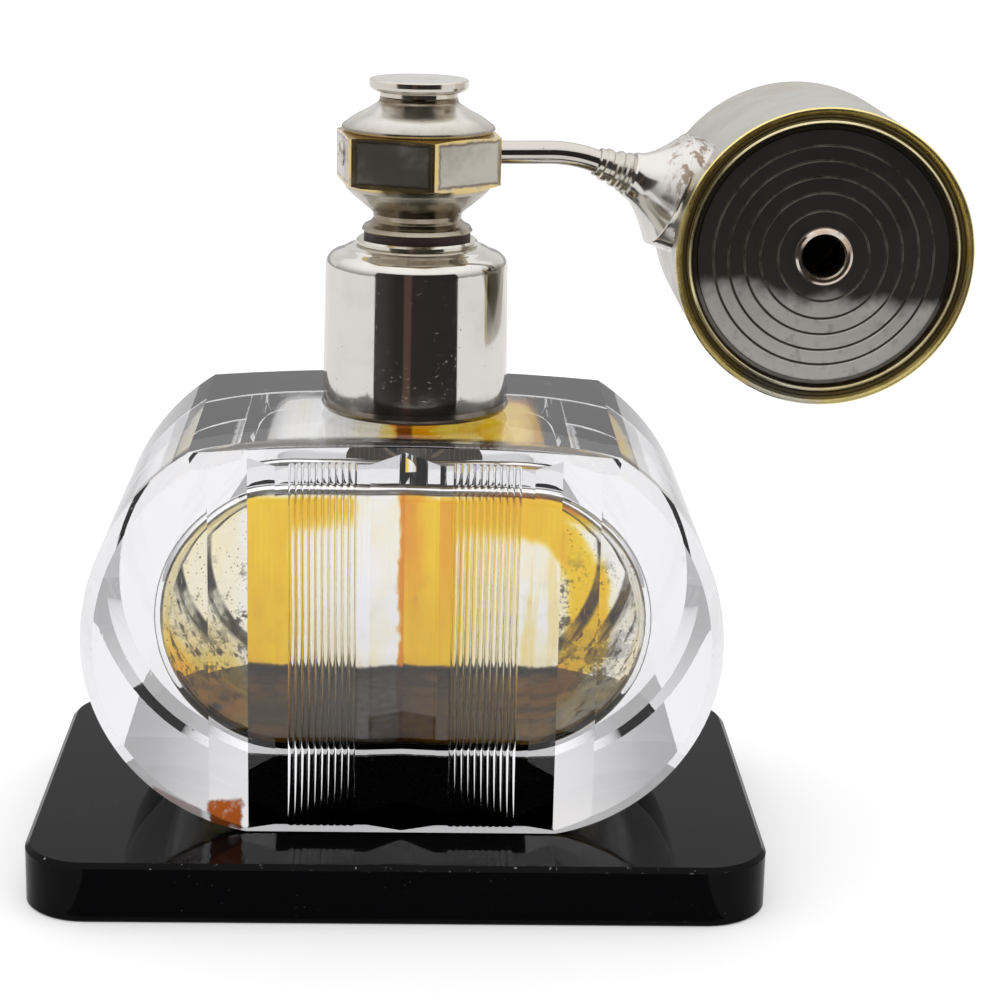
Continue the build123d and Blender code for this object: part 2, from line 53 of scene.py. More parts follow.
def middle(node):
    """Centre of a CAD node's box."""
    low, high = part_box(node)
    return (Vector(low) + Vector(high)) / 2


COLLAR_LOW, COLLAR_HIGH = (Vector(corner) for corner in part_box("neck_collar"))
NECK_AXIS = middle("neck_collar")
DRUM_AXIS = middle("drum_rim")
BLOCK_LOW = Vector(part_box("bottle")[0])
BLOCK_AXIS = middle("bottle")
PLATE_LOW, PLATE_HIGH = (Vector(corner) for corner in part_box("base_plate"))
NOZZLE = middle("nozzle_tip")
ARM_TURN = math.atan2(NECK_AXIS.y - NOZZLE.y, NECK_AXIS.x - NOZZLE.x)
JET_Z = NOZZLE.z

# Sizes that the masks of the head's hexagon follow.
HEX_HALF_HEIGHT = 3.9 * MM
HEX_APOTHEM = 11.9 * MM
HEX_SECTOR = math.pi / 3


# ================================================================ shader helper
class Shader:
    """One material's node tree. Inputs may be numbers, colours or sockets."""

    def __init__(self, name, origin=(0, 0, 0)):
        self.material = bpy.data.materials.new(name)
        self.material.use_nodes = True
        self.tree = self.material.node_tree
        self.tree.nodes.clear()
        self.output = self.add("ShaderNodeOutputMaterial")
        place = self.add("ShaderNodeTexCoord").outputs["Object"]
        self.place = self.vector("SUBTRACT", place, origin)
        self.axes = None

    def add(self, kind, **settings):
        node = self.tree.nodes.new(kind)
        for key, value in settings.items():
            setattr(node, key, value)
        return node

    def feed(self, socket, value):
        if isinstance(value, bpy.types.NodeSocket):
            self.tree.links.new(value, socket)
        elif value is not None:
            if socket.type == "RGBA" and len(value) == 3:
                value = (*value, 1.0)
            socket.default_value = value

    def math(self, operation, a, b=None):
        node = self.add("ShaderNodeMath", operation=operation)
        for socket, value in zip(node.inputs, (a, b)):
            self.feed(socket, value)
        return node.outputs[0]

    def vector(self, operation, a, b=None):
        node = self.add("ShaderNodeVectorMath", operation=operation)
        self.feed(node.inputs[0], a)
        self.feed(node.inputs[1], b)
        return node.outputs["Value" if operation in ("LENGTH", "DOT_PRODUCT") else "Vector"]

    def xyz(self, place=None):
        """The three coordinates of a place; the material's own place is split only once."""
        if place is None and self.axes:
            return self.axes
        node = self.add("ShaderNodeSeparateXYZ")
        self.feed(node.inputs[0], self.place if place is None else place)
        axes = tuple(node.outputs)
        if place is None:
            self.axes = axes
        return axes

    def joined(self, x, y, z):
        node = self.add("ShaderNodeCombineXYZ")
        for socket, value in zip(node.inputs, (x, y, z)):
            self.feed(socket, value)
        return node.outputs[0]

    def noise(self, size, detail=3.0, roughness=0.55, stretch=(1, 1, 1), place=None, distortion=0.0):
        """Soft noise whose blobs are about `size` across, in metres."""
        scaled = self.vector("MULTIPLY", self.place if place is None else place, stretch)
        node = self.add("ShaderNodeTexNoise")
        self.feed(node.inputs["Vector"], scaled)
        self.feed(node.inputs["Scale"], 1.0 / size)
        self.feed(node.inputs["Detail"], detail)
        self.feed(node.inputs["Roughness"], roughness)
        self.feed(node.inputs["Distortion"], distortion)
        return node.outputs["Fac"]

    def cells(self, size, place=None, stretch=(1, 1, 1)):
        """Distance from scattered points about `size` apart, 0 at each point."""
        scaled = self.vector("MULTIPLY", self.place if place is None else place, stretch)
        node = self.add("ShaderNodeTexVoronoi")
        self.feed(node.inputs["Vector"], scaled)
        self.feed(node.inputs["Scale"], 1.0 / size)
        return node.outputs["Distance"]

    def step(self, value, low, high, to_low=0.0, to_high=1.0):
        """Smooth step of value from low to high; low may be above high."""
        flip = low > high
        node = self.add("ShaderNodeMapRange", interpolation_type="SMOOTHSTEP")
        self.feed(node.inputs["Value"], value)
        self.feed(node.inputs["From Min"], high if flip else low)
        self.feed(node.inputs["From Max"], low if flip else high)
        self.feed(node.inputs["To Min"], to_high if flip else to_low)
        self.feed(node.inputs["To Max"], to_low if flip else to_high)
        return node.outputs["Result"]

    def band(self, value, low, high, soft):
        """1 between low and high, fading over soft at both ends."""
        rise = self.step(value, low - soft, low + soft)
        fall = self.step(value, high + soft, high - soft)
        return self.math("MULTIPLY", rise, fall)

    def mix(self, factor, a, b, blend="MIX"):
        node = self.add("ShaderNodeMix", data_type="RGBA", blend_type=blend)
        sockets = [s for s in node.inputs if s.type == "RGBA"]
        self.feed(node.inputs["Factor"], factor)
        self.feed(sockets[0], a)
        self.feed(sockets[1], b)
        return [s for s in node.outputs if s.type == "RGBA"][0]

    def wobble(self, size, reach, stretch=(1, 1, 1)):
        """Noise between about -reach/2 and reach/2, for ragged edges."""
        return self.product(self.math("SUBTRACT", self.noise(size, 3, stretch=stretch), 0.5), reach)

    def inverse(self, mask):
        return self.math("SUBTRACT", 1.0, mask)

    def most(self, *values):
        result = values[0]
        for value in values[1:]:
            result = self.math("MAXIMUM", result, value)
        return result

    def product(self, *values):
        result = values[0]
        for value in values[1:]:
            result = self.math("MULTIPLY", result, value)
        return result

    def bump(self, height, depth, normal=None):
        """Bump of a 0 to 1 height that stands for depth metres."""
        node = self.add("ShaderNodeBump")
        self.feed(node.inputs["Height"], height)
        self.feed(node.inputs["Strength"], 1.0)
        self.feed(node.inputs["Distance"], depth)
        self.feed(node.inputs["Normal"], normal)
        return node.outputs[0]

    def edge_wear(self, radius):
        """1 on worn corners: where a rounded normal leaves the true one."""
        rounded = self.add("ShaderNodeBevel", samples=6)
        rounded.inputs["Radius"].default_value = radius
        geometry = self.add("ShaderNodeNewGeometry")
        turn = self.vector("DOT_PRODUCT", rounded.outputs[0], geometry.outputs["Normal"])
        return self.step(self.inverse(turn), 0.02, 0.35)

    def blended(self, factor, first, second):
        """Mix of two shader nodes."""
        node = self.add("ShaderNodeMixShader")
        self.feed(node.inputs[0], factor)
        self.tree.links.new(first.outputs[0], node.inputs[1])
        self.tree.links.new(second.outputs[0], node.inputs[2])
        return node

    def principled(self, **inputs):
        """The Principled shader; inputs by name, with _ for each space."""
        node = self.add("ShaderNodeBsdfPrincipled")
        for key, value in inputs.items():
            self.feed(node.inputs[key.replace("_", " ")], value)
        return node

    def finish(self, shader):
        self.tree.links.new(shader.outputs[0], self.output.inputs["Surface"])
        return self.material


def radius_about(shader, axis):
    """Distance from a line through the origin of the shader's place along an axis."""
    x, y, z = shader.xyz()
    pair = {"Z": (x, y), "Y": (x, z)}[axis]
    return shader.math("SQRT", shader.math("ADD", *(shader.math("POWER", side, 2.0) for side in pair)))


# ================================================================ materials
SILVER = (0.76, 0.735, 0.69)
WARM_SILVER = (0.70, 0.66, 0.585)
BRASS = (0.80, 0.60, 0.24)
TARNISH = (0.11, 0.085, 0.06)
GRIME = (0.03, 0.022, 0.015)
PIT_DEPTH = 0.02 * MM
SCRATCH_DEPTH = 0.0025 * MM
LATHE_LINE_DEPTH = 0.006 * MM


def plated_metal(name, origin, colour=SILVER, roughness=0.18, tarnish=0.35, wear=0.0, lathe=None,
                 grain=0.3, extra=None):
    """Old plate: tarnish clouds, pits, fine scratches and, where rubbed, brass at the corners."""
    s = Shader(name, origin)
    clouds = s.step(s.noise(9 * MM, 5, 0.6), 0.42, 0.72)
    pits = s.step(s.cells(1.3 * MM), 0.10, 0.03)
    pits = s.product(pits, s.step(s.noise(5 * MM, 2), 0.50, 0.62))
    fine = s.noise(0.6 * MM, 4, 0.7)
    clouded = tuple(0.62 * c + 0.10 * t for c, t in zip(colour, TARNISH))
    shade = s.mix(s.product(clouds, tarnish), colour, clouded)
    shade = s.mix(s.product(s.noise(3 * MM, 2), 0.22), shade, WARM_SILVER)
    shade = s.mix(s.product(pits, 0.75), shade, GRIME)
    rough = s.math("ADD", s.product(clouds, min(0.16, 0.9 * roughness)), roughness)
    rough = s.math("ADD", rough, s.product(s.math("SUBTRACT", fine, 0.5), min(0.10, 0.6 * roughness)))
    if lathe == "Z":
        lines = s.noise(0.35 * MM, 3, 0.8, stretch=(0.03, 0.03, 1.0))
    elif lathe == "Y":
        ring = radius_about(s, "Y")
        lines = s.noise(0.35 * MM, 3, 0.8, place=s.joined(ring, s.product(s.xyz()[1], 0.1), 0.0))
    else:
        lines = s.noise(0.4 * MM, 3, 0.8, stretch=(1.0, 0.25, 0.6))
    scratches = s.step(s.noise(0.25 * MM, 2, 0.9, stretch=(0.08, 1.0, 0.35), distortion=0.4), 0.63, 0.72)
    normal = s.bump(lines, LATHE_LINE_DEPTH * grain)
    normal = s.bump(scratches, -SCRATCH_DEPTH, normal)
    normal = s.bump(pits, -PIT_DEPTH, normal)
    if wear:
        worn = s.product(s.edge_wear(wear), s.step(s.noise(2 * MM, 3), 0.30, 0.52))
        shade = s.mix(worn, shade, BRASS)
        rough = s.math("SUBTRACT", rough, s.product(worn, 0.05))
    if extra:
        shade, rough = extra(s, shade, rough)
    return s.finish(s.principled(Base_Color=shade, Metallic=1.0, Roughness=rough, Normal=normal))


DRIP_ANGLE = 0.98
WOBBLE_ANGLE_PER_METRE = 25.0


def collar_marks(s, shade, rough):
    """Drip stain on the right shoulder, and the foot made browner and rougher."""
    x, y, z = s.xyz()
    top = (COLLAR_HIGH.z - COLLAR_LOW.z) / 2
    wobble = s.wobble(4 * MM, 3 * MM)
    angle = s.math("ARCTAN2", x, s.math("MULTIPLY", y, -1.0))
    across = s.math("ADD", angle, s.product(wobble, WOBBLE_ANGLE_PER_METRE))
    half_width = s.step(z, top - 11.5 * MM, top - 2 * MM, 0.0, 0.16)
    off_centre = s.math("ABSOLUTE", s.math("SUBTRACT", across, DRIP_ANGLE))
    drip = s.step(s.math("SUBTRACT", off_centre, half_width), 0.05, 0.0)
    drip = s.product(drip, s.step(z, top - 12 * MM, top - 9 * MM),
                     s.step(z, top - 1.5 * MM, top - 2.5 * MM))
    # The band along the foot is made brown and rougher.
    foot = s.step(s.math("ADD", z, wobble), 4.2 * MM - top, 0.6 * MM - top)
    shade = s.mix(s.product(drip, 0.55), shade, (0.16, 0.12, 0.07))
    shade = s.mix(s.product(foot, 0.8), shade, (0.13, 0.09, 0.05))
    return shade, s.math("ADD", rough, s.product(foot, 0.12))


def hexagon_frame(s, widen=0.0):
    """1 along the rubbed borders of the head's six faces."""
    x, y, z = s.xyz()
    angle = s.math("SUBTRACT", s.math("ARCTAN2", y, x), ARM_TURN)
    turned = s.math("ADD", angle, HEX_SECTOR / 2)
    sector = s.math("SUBTRACT", s.math("FLOORED_MODULO", turned, HEX_SECTOR), HEX_SECTOR / 2)
    wobble = s.wobble(1.6 * MM, 0.7 * MM)
    along = s.math("ADD", s.product(s.math("TANGENT", sector), HEX_APOTHEM), wobble)
    half = HEX_APOTHEM * math.tan(HEX_SECTOR / 2)
    side = s.step(s.math("ABSOLUTE", along), half - 1.05 * MM - widen, half - 0.45 * MM - widen)
    face_middle = JET_Z - NECK_AXIS.z - 0.55 * MM
    level = s.math("ABSOLUTE", s.math("ADD", s.math("SUBTRACT", z, face_middle), wobble))
    edge = s.step(level, HEX_HALF_HEIGHT - 0.75 * MM - widen, HEX_HALF_HEIGHT - 0.25 * MM - widen)
    outside = s.step(level, HEX_HALF_HEIGHT + 0.9 * MM, HEX_HALF_HEIGHT + 0.4 * MM)
    return s.product(s.most(side, edge), outside, s.step(radius_about(s, "Z"), 11.2 * MM, 11.6 * MM))


def head_marks(s, shade, rough):
    """Brass showing round each face of the hexagon, and brown dirt in the waist below it."""
    rubbed = s.product(hexagon_frame(s), s.step(s.noise(1.2 * MM, 3), 0.25, 0.5))
    z = s.xyz()[2]
    waist = s.band(z, 99.9 * MM - NECK_AXIS.z, 104.6 * MM - NECK_AXIS.z, 1.2 * MM)
    grimy = s.step(s.noise(3 * MM, 4), 0.30, 0.65, 0.35, 0.75)
    shade = s.mix(s.product(waist, grimy), shade, (0.20, 0.145, 0.075))
    inner_line = s.product(hexagon_frame(s, 0.35 * MM), s.inverse(hexagon_frame(s)))
    shade = s.mix(s.product(inner_line, 0.8), shade, (0.07, 0.035, 0.012))
    shade = s.mix(s.product(rubbed, 0.92), shade, BRASS)
    return shade, s.math("SUBTRACT", rough, s.product(rubbed, 0.08))


def dome_marks(s, shade, rough):
    """Yellow-brown dirt round the dome's foot and under the knob."""
    z = s.math("ADD", s.xyz()[2], s.wobble(2.5 * MM, 1.2 * MM))
    base, top = (corner.z - NECK_AXIS.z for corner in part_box("head_dome"))
    at_foot = s.step(z, base + 4.0 * MM, base + 1.2 * MM, 0.0, 0.65)
    under_knob = s.step(z, top - 1.3 * MM, top - 0.4 * MM, 0.0, 0.9)
    dirt = s.most(at_foot, under_knob)
    warm = s.step(s.noise(5 * MM, 4), 0.40, 0.65, 0.02, 0.25)
    shade = s.mix(warm, shade, (0.50, 0.43, 0.31))
    return s.mix(dirt, shade, (0.16, 0.11, 0.055)), rough


def horn_marks(s, shade, rough):
    """Brown burnt solder round the horn's foot."""
    ragged = s.product(s.math("SUBTRACT", s.noise(2 * MM, 4), 0.5), 5 * MM)
    reach = s.math("ADD", s.xyz()[0], ragged)
    foot = s.step(reach, -1.5 * MM, 2.5 * MM)
    patches = s.step(s.noise(1.5 * MM, 3, 0.6, stretch=(1, 1, 0.6)), 0.50, 0.60)
    burnt = s.product(foot, patches)
    shade = s.mix(s.product(burnt, 0.75), shade, (0.24, 0.14, 0.07))
    return shade, s.math("ADD", rough, s.product(burnt, 0.25))


def rim_marks(s, shade, rough):
    """Bright brass lips, with the hollow between them made nearly black."""
    ring = radius_about(s, "Y")
    # The hollow between the lips is made nearly black.
    dirt = s.band(ring, 21.55 * MM, 22.45 * MM, 0.12 * MM)
    dirt = s.product(dirt, s.step(s.noise(3 * MM, 3), 0.10, 0.40, 0.80, 1.0))
    pale = s.step(ring, 21.7 * MM, 21.3 * MM)
    silvered = s.product(s.step(s.noise(14 * MM, 2), 0.52, 0.62), s.step(s.xyz()[2], 2 * MM, -12 * MM))
    shade = s.mix(s.product(silvered, 0.8), shade, SILVER)
    shade = s.mix(s.product(pale, 0.5), shade, (0.80, 0.74, 0.58))
    shade = s.mix(s.product(dirt, 0.93), shade, (0.07, 0.045, 0.025))
    return shade, s.math("ADD", rough, s.product(dirt, 0.25))


def disc_marks(s, shade, rough):
    """Upper part painted nearly black as painted shade, lower part left pale grey; dark grooves, with
    painted highlights in them here and there.
    """
    x, y, z = s.xyz()
    ring = radius_about(s, "Y")
    # Painted shade: above this slanted line the disc is made nearly black, leaving the lower part pale.
    slope = s.math("ADD", s.math("ADD", z, s.product(x, 0.10)), s.wobble(7 * MM, 8 * MM))
    dark = s.step(slope, -9.0 * MM, -4.5 * MM)
    shade = s.mix(s.product(dark, 0.965), shade, (0.032, 0.028, 0.026))
    mottle = s.step(s.noise(2.5 * MM, 5, 0.7), 0.52, 0.70)
    shade = s.mix(s.product(mottle, 0.30), shade, (0.05, 0.045, 0.04))
    front = s.step(y, 0.02 * MM, 0.12 * MM)
    # Painted highlights: pale glints in the grooves of the darkened upper part.
    painted_groove_glint = s.product(front, dark, s.step(ring, 18.7 * MM, 18.4 * MM),
                              s.step(s.noise(3 * MM, 3), 0.30, 0.60, 0.25, 0.7))
    edge = s.step(ring, 19.4 * MM, 20.4 * MM)
    shade = s.mix(s.product(s.most(front, s.product(edge, 0.6)), 0.7), shade, GRIME)
    shade = s.mix(s.product(painted_groove_glint, 0.85), shade, (0.55, 0.52, 0.46))
    return shade, s.math("ADD", rough, s.product(dark, 0.10))


def eyelet_marks(s, shade, rough):
    """Coppery blush on the eyelet and black inside its bore."""
    ring = radius_about(s, "Y")
    inside = s.product(s.step(ring, 3.45 * MM, 3.38 * MM), s.step(s.xyz()[1], -2.0 * MM, -1.2 * MM))
    blush = s.step(s.noise(2.2 * MM, 3), 0.42, 0.60)
    shade = s.mix(s.product(blush, 0.6), shade, (0.62, 0.40, 0.26))
    shade = s.mix(s.product(inside, 0.92), shade, GRIME)
    return shade, s.math("ADD", rough, s.product(inside, 0.3))


def drum_marks(s, shade, rough):
    """Yellowish bloom and dark specks on the drum's side."""
    bloom = s.step(s.noise(16 * MM, 3), 0.45, 0.70)
    specks = s.product(s.step(s.cells(0.8 * MM), 0.16, 0.06), s.step(s.noise(9 * MM, 2), 0.52, 0.60))
    shade = s.mix(s.product(bloom, 0.30), shade, (0.52, 0.44, 0.30))
    shade = s.mix(s.product(specks, 0.55), shade, (0.13, 0.10, 0.06))
    return shade, rough


def leather(name, origin, colour):
    """Oiled leather: grain, dark patches."""
    s = Shader(name, origin)
    grain = s.cells(0.45 * MM)
    patches = s.noise(3 * MM, 4)
    dark = tuple(0.45 * c for c in colour)
    shade = s.mix(patches, colour, dark)
    rough = s.step(patches, 0.2, 0.8, 0.45, 0.70)
    normal = s.bump(grain, 0.04 * MM)
    return s.finish(s.principled(Base_Color=shade, Roughness=rough, Normal=normal))


def plaster(name, origin, colour):
    """Old cement: chalky, stained in places."""
    s = Shader(name, origin)
    grit = s.noise(0.5 * MM, 5, 0.7)
    stain = s.step(s.noise(5 * MM, 3), 0.45, 0.65)
    shade = s.mix(s.product(stain, 0.6), colour, tuple(0.5 * c for c in colour))
    return s.finish(s.principled(Base_Color=shade, Roughness=s.step(grit, 0.3, 0.7, 0.75, 0.95),
                                 Normal=s.bump(grit, 0.08 * MM)))


def black_glass():
    """Polished black glass with hairlines, dust and small chips on its upper bevel."""
    s = Shader("black_glass", PLATE_LOW.lerp(PLATE_HIGH, 0.5))
    z = s.xyz()[2]
    half = (PLATE_HIGH.z - PLATE_LOW.z) / 2
    hairlines = s.step(s.noise(0.3 * MM, 2, 0.9, stretch=(0.05, 1.0, 1.0), distortion=0.3), 0.66, 0.72)
    dust = s.product(s.step(s.cells(1.1 * MM), 0.10, 0.03), s.step(s.noise(12 * MM, 2), 0.48, 0.62))
    bevel = s.step(z, half - 0.8 * MM, half - 0.65 * MM)
    chips = s.product(bevel, s.step(s.noise(1.3 * MM, 4, 0.7), 0.64, 0.68),
                      s.step(z, half - 0.02 * MM, half - 0.1 * MM))
    shade = s.mix(s.product(dust, 0.5), (0.0035, 0.0035, 0.004), (0.20, 0.20, 0.19))
    shade = s.mix(chips, shade, (0.35, 0.35, 0.34))
    rough = s.math("ADD", s.product(s.noise(8 * MM, 3), 0.05), 0.015)
    rough = s.math("ADD", rough, s.product(s.most(chips, dust), 0.4))
    normal = s.bump(hairlines, -0.002 * MM)
    normal = s.bump(chips, -0.05 * MM, normal)
    return s.finish(s.principled(Base_Color=shade, Roughness=rough, Normal=normal, IOR=1.52,
                                 Specular_IOR_Level=0.06))


def foot_shade(s):
    """Black cement behind the bottle's foot, with pale bubbles in it."""
    bubbles = s.step(s.cells(1.0 * MM, stretch=(0.45, 1, 1)), 0.30, 0.16)
    bubbles = s.product(bubbles, s.step(s.noise(7 * MM, 2), 0.36, 0.50))
    return s.mix(s.product(bubbles, 0.85), (0.010, 0.010, 0.012), (0.90, 0.87, 0.80))


def outer_patches(s, above_foot):
    """Masks of the orange and the pink patch low on the left of the front face."""
    x, y = s.xyz()[:2]
    front_y = BLOCK_LOW.y - BLOCK_AXIS.y
    face = s.step(y, front_y + 4.0 * MM, front_y + 3.0 * MM)
    ragged = s.wobble(3 * MM, 2.5 * MM)
    ragged_x = s.math("ADD", x, ragged)
    orange = s.product(s.band(ragged_x, -29.5 * MM, -24.6 * MM, 0.3 * MM),
                       s.band(s.math("ADD", above_foot, ragged), 0.4 * MM, 6.0 * MM, 0.4 * MM))
    slanted = s.math("ADD", above_foot, s.product(x, 0.42))
    pink = s.product(s.band(ragged_x, -38.5 * MM, -30.5 * MM, 0.4 * MM),
                     s.band(slanted, -11.2 * MM, -8.4 * MM, 0.3 * MM))
    return face, orange, pink


def crystal():
    """Clear lead crystal with faint scratches; dark foot, and brown neck where plaster touches it."""
    s = Shader("crystal_glass", BLOCK_AXIS)
    x, y, z = s.xyz()
    swirl = s.noise(6 * MM, 2)
    scratch = s.step(s.noise(0.5 * MM, 2, 0.9, stretch=(1.0, 0.3, 0.12), distortion=0.5), 0.68, 0.74)
    normal = s.bump(swirl, 0.006 * MM)
    normal = s.bump(scratch, -0.0015 * MM, normal)
    glass = s.principled(Base_Color=(0.985, 0.985, 0.99), Roughness=s.product(scratch, 0.12), IOR=1.54,
                         Normal=normal, Transmission_Weight=1.0)

    foot_z = BLOCK_LOW.z - BLOCK_AXIS.z
    collar_z = COLLAR_LOW.z - BLOCK_AXIS.z
    off_neck = (NECK_AXIS - BLOCK_AXIS)[:2]
    from_neck = s.vector("LENGTH", s.joined(s.math("SUBTRACT", x, off_neck[0]),
                                            s.math("SUBTRACT", y, off_neck[1]), 0.0))
    foot = s.step(z, foot_z + 0.05 * MM, foot_z + 0.02 * MM)
    neck = s.product(s.step(z, collar_z + 0.3 * MM, collar_z + 0.5 * MM),
                     s.step(from_neck, 10.3 * MM, 10.4 * MM))
    shade = s.mix(neck, foot_shade(s), (0.20, 0.12, 0.05))

    face, orange, pink = outer_patches(s, s.math("SUBTRACT", z, foot_z))
    shade = s.mix(s.product(face, orange), shade, (0.60, 0.14, 0.02))
    shade = s.mix(s.product(face, pink), shade, (0.40, 0.13, 0.11))
    patches = s.product(face, s.most(orange, s.product(pink, 0.6)),
                        s.step(s.noise(1.6 * MM, 4, 0.7), 0.30, 0.50, 0.75, 1.0))
    contact = s.principled(Base_Color=shade, Roughness=0.5, Specular_IOR_Level=0.12)
    return s.finish(s.blended(s.most(foot, neck, patches), glass, contact))


# ================================================================ camera, light and floor
CAMERA_PLACE = Vector((0.998, -389.43, 163.45)) * MM
CAMERA_YAW = -0.0377
CAMERA_PITCH = 0.2675
CAMERA_ROLL = -0.0234
CAMERA_LENS = 90.59


def make_camera():
    ahead = Vector((-math.sin(CAMERA_YAW) * math.cos(CAMERA_PITCH),
                    math.cos(CAMERA_YAW) * math.cos(CAMERA_PITCH),
                    -math.sin(CAMERA_PITCH)))
    level = Vector((math.cos(CAMERA_YAW), math.sin(CAMERA_YAW), 0.0))
    upright = level.cross(ahead)
    right = math.cos(CAMERA_ROLL) * level - math.sin(CAMERA_ROLL) * upright
    up = math.sin(CAMERA_ROLL) * level + math.cos(CAMERA_ROLL) * upright
    data = bpy.data.cameras.new("camera")
    data.lens = CAMERA_LENS
    data.sensor_width = 36.0
    data.clip_start = 0.01
    data.clip_end = 20.0
    camera = bpy.data.objects.new("camera", data)
    turn = Matrix((right, up, -ahead)).transposed().to_4x4()
    camera.matrix_world = Matrix.Translation(CAMERA_PLACE) @ turn
    bpy.context.collection.objects.link(camera)
    bpy.context.scene.camera = camera


def make_world():
    """Bright ceiling, dim walls; the backdrop that the camera sees is plain and pale."""
    world = bpy.data.worlds.new("studio")
    world.use_nodes = True
    tree = world.node_tree
    tree.nodes.clear()
    link = tree.links.new
    place = tree.nodes.new("ShaderNodeTexCoord")
    split = tree.nodes.new("ShaderNodeSeparateXYZ")
    link(place.outputs["Generated"], split.inputs[0])
    ramp = tree.nodes.new("ShaderNodeValToRGB")
    stops = [(0.0, 0.42), (0.12, 0.46), (0.28, 0.66), (0.50, 0.92), (0.80, 1.15)]
    while len(ramp.color_ramp.elements) < len(stops):
        ramp.color_ramp.elements.new(0.5)
    for element, (position, level) in zip(ramp.color_ramp.elements, stops):
        element.position = position
        element.color = (level, level * 0.995, level * 1.01, 1.0)
    link(split.outputs["Z"], ramp.inputs[0])
    seen = tree.nodes.new("ShaderNodeBackground")
    seen.inputs["Color"].default_value = (0.97, 0.97, 0.975, 1.0)
    lit = tree.nodes.new("ShaderNodeBackground")
    link(ramp.outputs[0], lit.inputs["Color"])
    lit.inputs["Strength"].default_value = 1.0
    path = tree.nodes.new("ShaderNodeLightPath")
    both = tree.nodes.new("ShaderNodeMixShader")
    link(path.outputs["Is Camera Ray"], both.inputs[0])
    link(lit.outputs[0], both.inputs[1])
    link(seen.outputs[0], both.inputs[2])
    output = tree.nodes.new("ShaderNodeOutputWorld")
    link(both.outputs[0], output.inputs[0])
    bpy.context.scene.world = world


def make_mesh(name, verts, faces, smooth=True):
    mesh = bpy.data.meshes.new(name)
    mesh.from_pydata([tuple(v) for v in verts], [], faces)
    mesh.validate()
    mesh.polygons.foreach_set("use_smooth", [smooth] * len(mesh.polygons))
    piece = bpy.data.objects.new(name, mesh)
    bpy.context.collection.objects.link(piece)
    return piece


def paper(name, glow):
    """Pale studio paper that gives off a little light of its own."""
    s = Shader(name)
    shade = s.mix(s.noise(60 * MM, 2), (0.90, 0.90, 0.905), (0.92, 0.92, 0.92))
    return s.finish(s.principled(Base_Color=shade, Roughness=0.9, Specular_IOR_Level=0.1,
                                 Emission_Color=(1.0, 1.0, 1.0), Emission_Strength=glow))


def make_floor():
    """Pale floor, and a brighter sheet on it that only the camera sees."""
    reach = 3.0
    for name, level, glow in (("floor", -0.2 * MM, 0.0), ("bright_floor", 0.0, 0.24)):
        corners = [(x * reach, y * reach, level) for x, y in ((-1, -1), (1, -1), (1, 1), (-1, 1))]
        floor = make_mesh(name, corners, [(0, 1, 2, 3)], smooth=False)
        floor.data.materials.append(paper(name + "_paper", glow))
    floor.visible_diffuse = False
    floor.visible_glossy = False
    floor.visible_transmission = False
    floor.visible_shadow = False


def glossy_only(card):
    """Keeps a studio card out of sight of everything but mirror-like surfaces."""
    card.visible_camera = False
    card.visible_diffuse = False
    card.visible_shadow = False
    card.visible_transmission = False


def make_dark_card():
    """Curved dark card in front of the object, with one reddish stripe, for the metal to mirror."""
    reach = 0.33
    low = 0.001
    high = 0.30
    half_angle = math.radians(52)
    steps = 24
    verts = []
    for i in range(steps + 1):
        angle = -half_angle + 2 * half_angle * i / steps
        foot = (NECK_AXIS.x + reach * math.sin(angle), NECK_AXIS.y - reach * math.cos(angle))
        verts += [(*foot, low), (*foot, high)]
    faces = [(2 * i, 2 * i + 2, 2 * i + 3, 2 * i + 1) for i in range(steps)]
    card = make_mesh("dark_card", verts, faces)
    s = Shader("dark_cloth", (NECK_AXIS.x, NECK_AXIS.y, 0.0))
    x, y = s.xyz()[:2]
    angle = s.math("ARCTAN2", x, s.math("MULTIPLY", y, -1.0))
    angle = s.math("ADD", angle, s.wobble(70 * MM, 0.06))
    stripe = s.band(angle, math.radians(-15), math.radians(-6), 0.02)
    left = s.step(angle, math.radians(-20), math.radians(-50))
    shade = s.mix(s.noise(90 * MM, 2), (0.014, 0.012, 0.011), (0.030, 0.022, 0.020))
    shade = s.mix(s.product(left, 0.5), shade, (0.09, 0.085, 0.08))
    shade = s.mix(s.product(stripe, 0.85), shade, (0.13, 0.07, 0.055))
    card.data.materials.append(s.finish(s.principled(Base_Color=shade, Roughness=1.0)))
    glossy_only(card)


def make_back_card():
    """Bright upright card high behind the object, for the flat tops and the tube to mirror."""
    half_width = 0.50
    distance = 0.30
    low = 0.145
    high = 0.32
    verts = [(-half_width, distance, low), (half_width, distance, low),
             (half_width, distance, high), (-half_width, distance, high)]
    card = make_mesh("back_card", verts, [(0, 1, 2, 3)], smooth=False)
    s = Shader("back_card_glow")
    glow = s.add("ShaderNodeEmission")
    s.feed(glow.inputs["Strength"], s.step(s.noise(90 * MM, 2), 0.3, 0.7, 0.72, 0.80))
    card.data.materials.append(s.finish(glow))
    glossy_only(card)


def make_dark_strip():
    """Dark paper lying just in front of the plate, which only its front edge mirrors."""
    front = PLATE_LOW.y - 1 * MM
    depth = 0.055
    half_width = 0.5 * (PLATE_HIGH.x - PLATE_LOW.x) - 6 * MM
    level = 0.5 * MM
    verts = [(-half_width, front - depth, level), (half_width, front - depth, level),
             (half_width, front, level), (-half_width, front, level)]
    strip = make_mesh("dark_strip", verts, [(0, 1, 2, 3)], smooth=False)
    s = Shader("dark_paper")
    shade = s.mix(s.noise(30 * MM, 2), (0.004, 0.004, 0.004), (0.010, 0.010, 0.010))
    strip.data.materials.append(s.finish(s.principled(Base_Color=shade, Roughness=1.0)))
    glossy_only(strip)


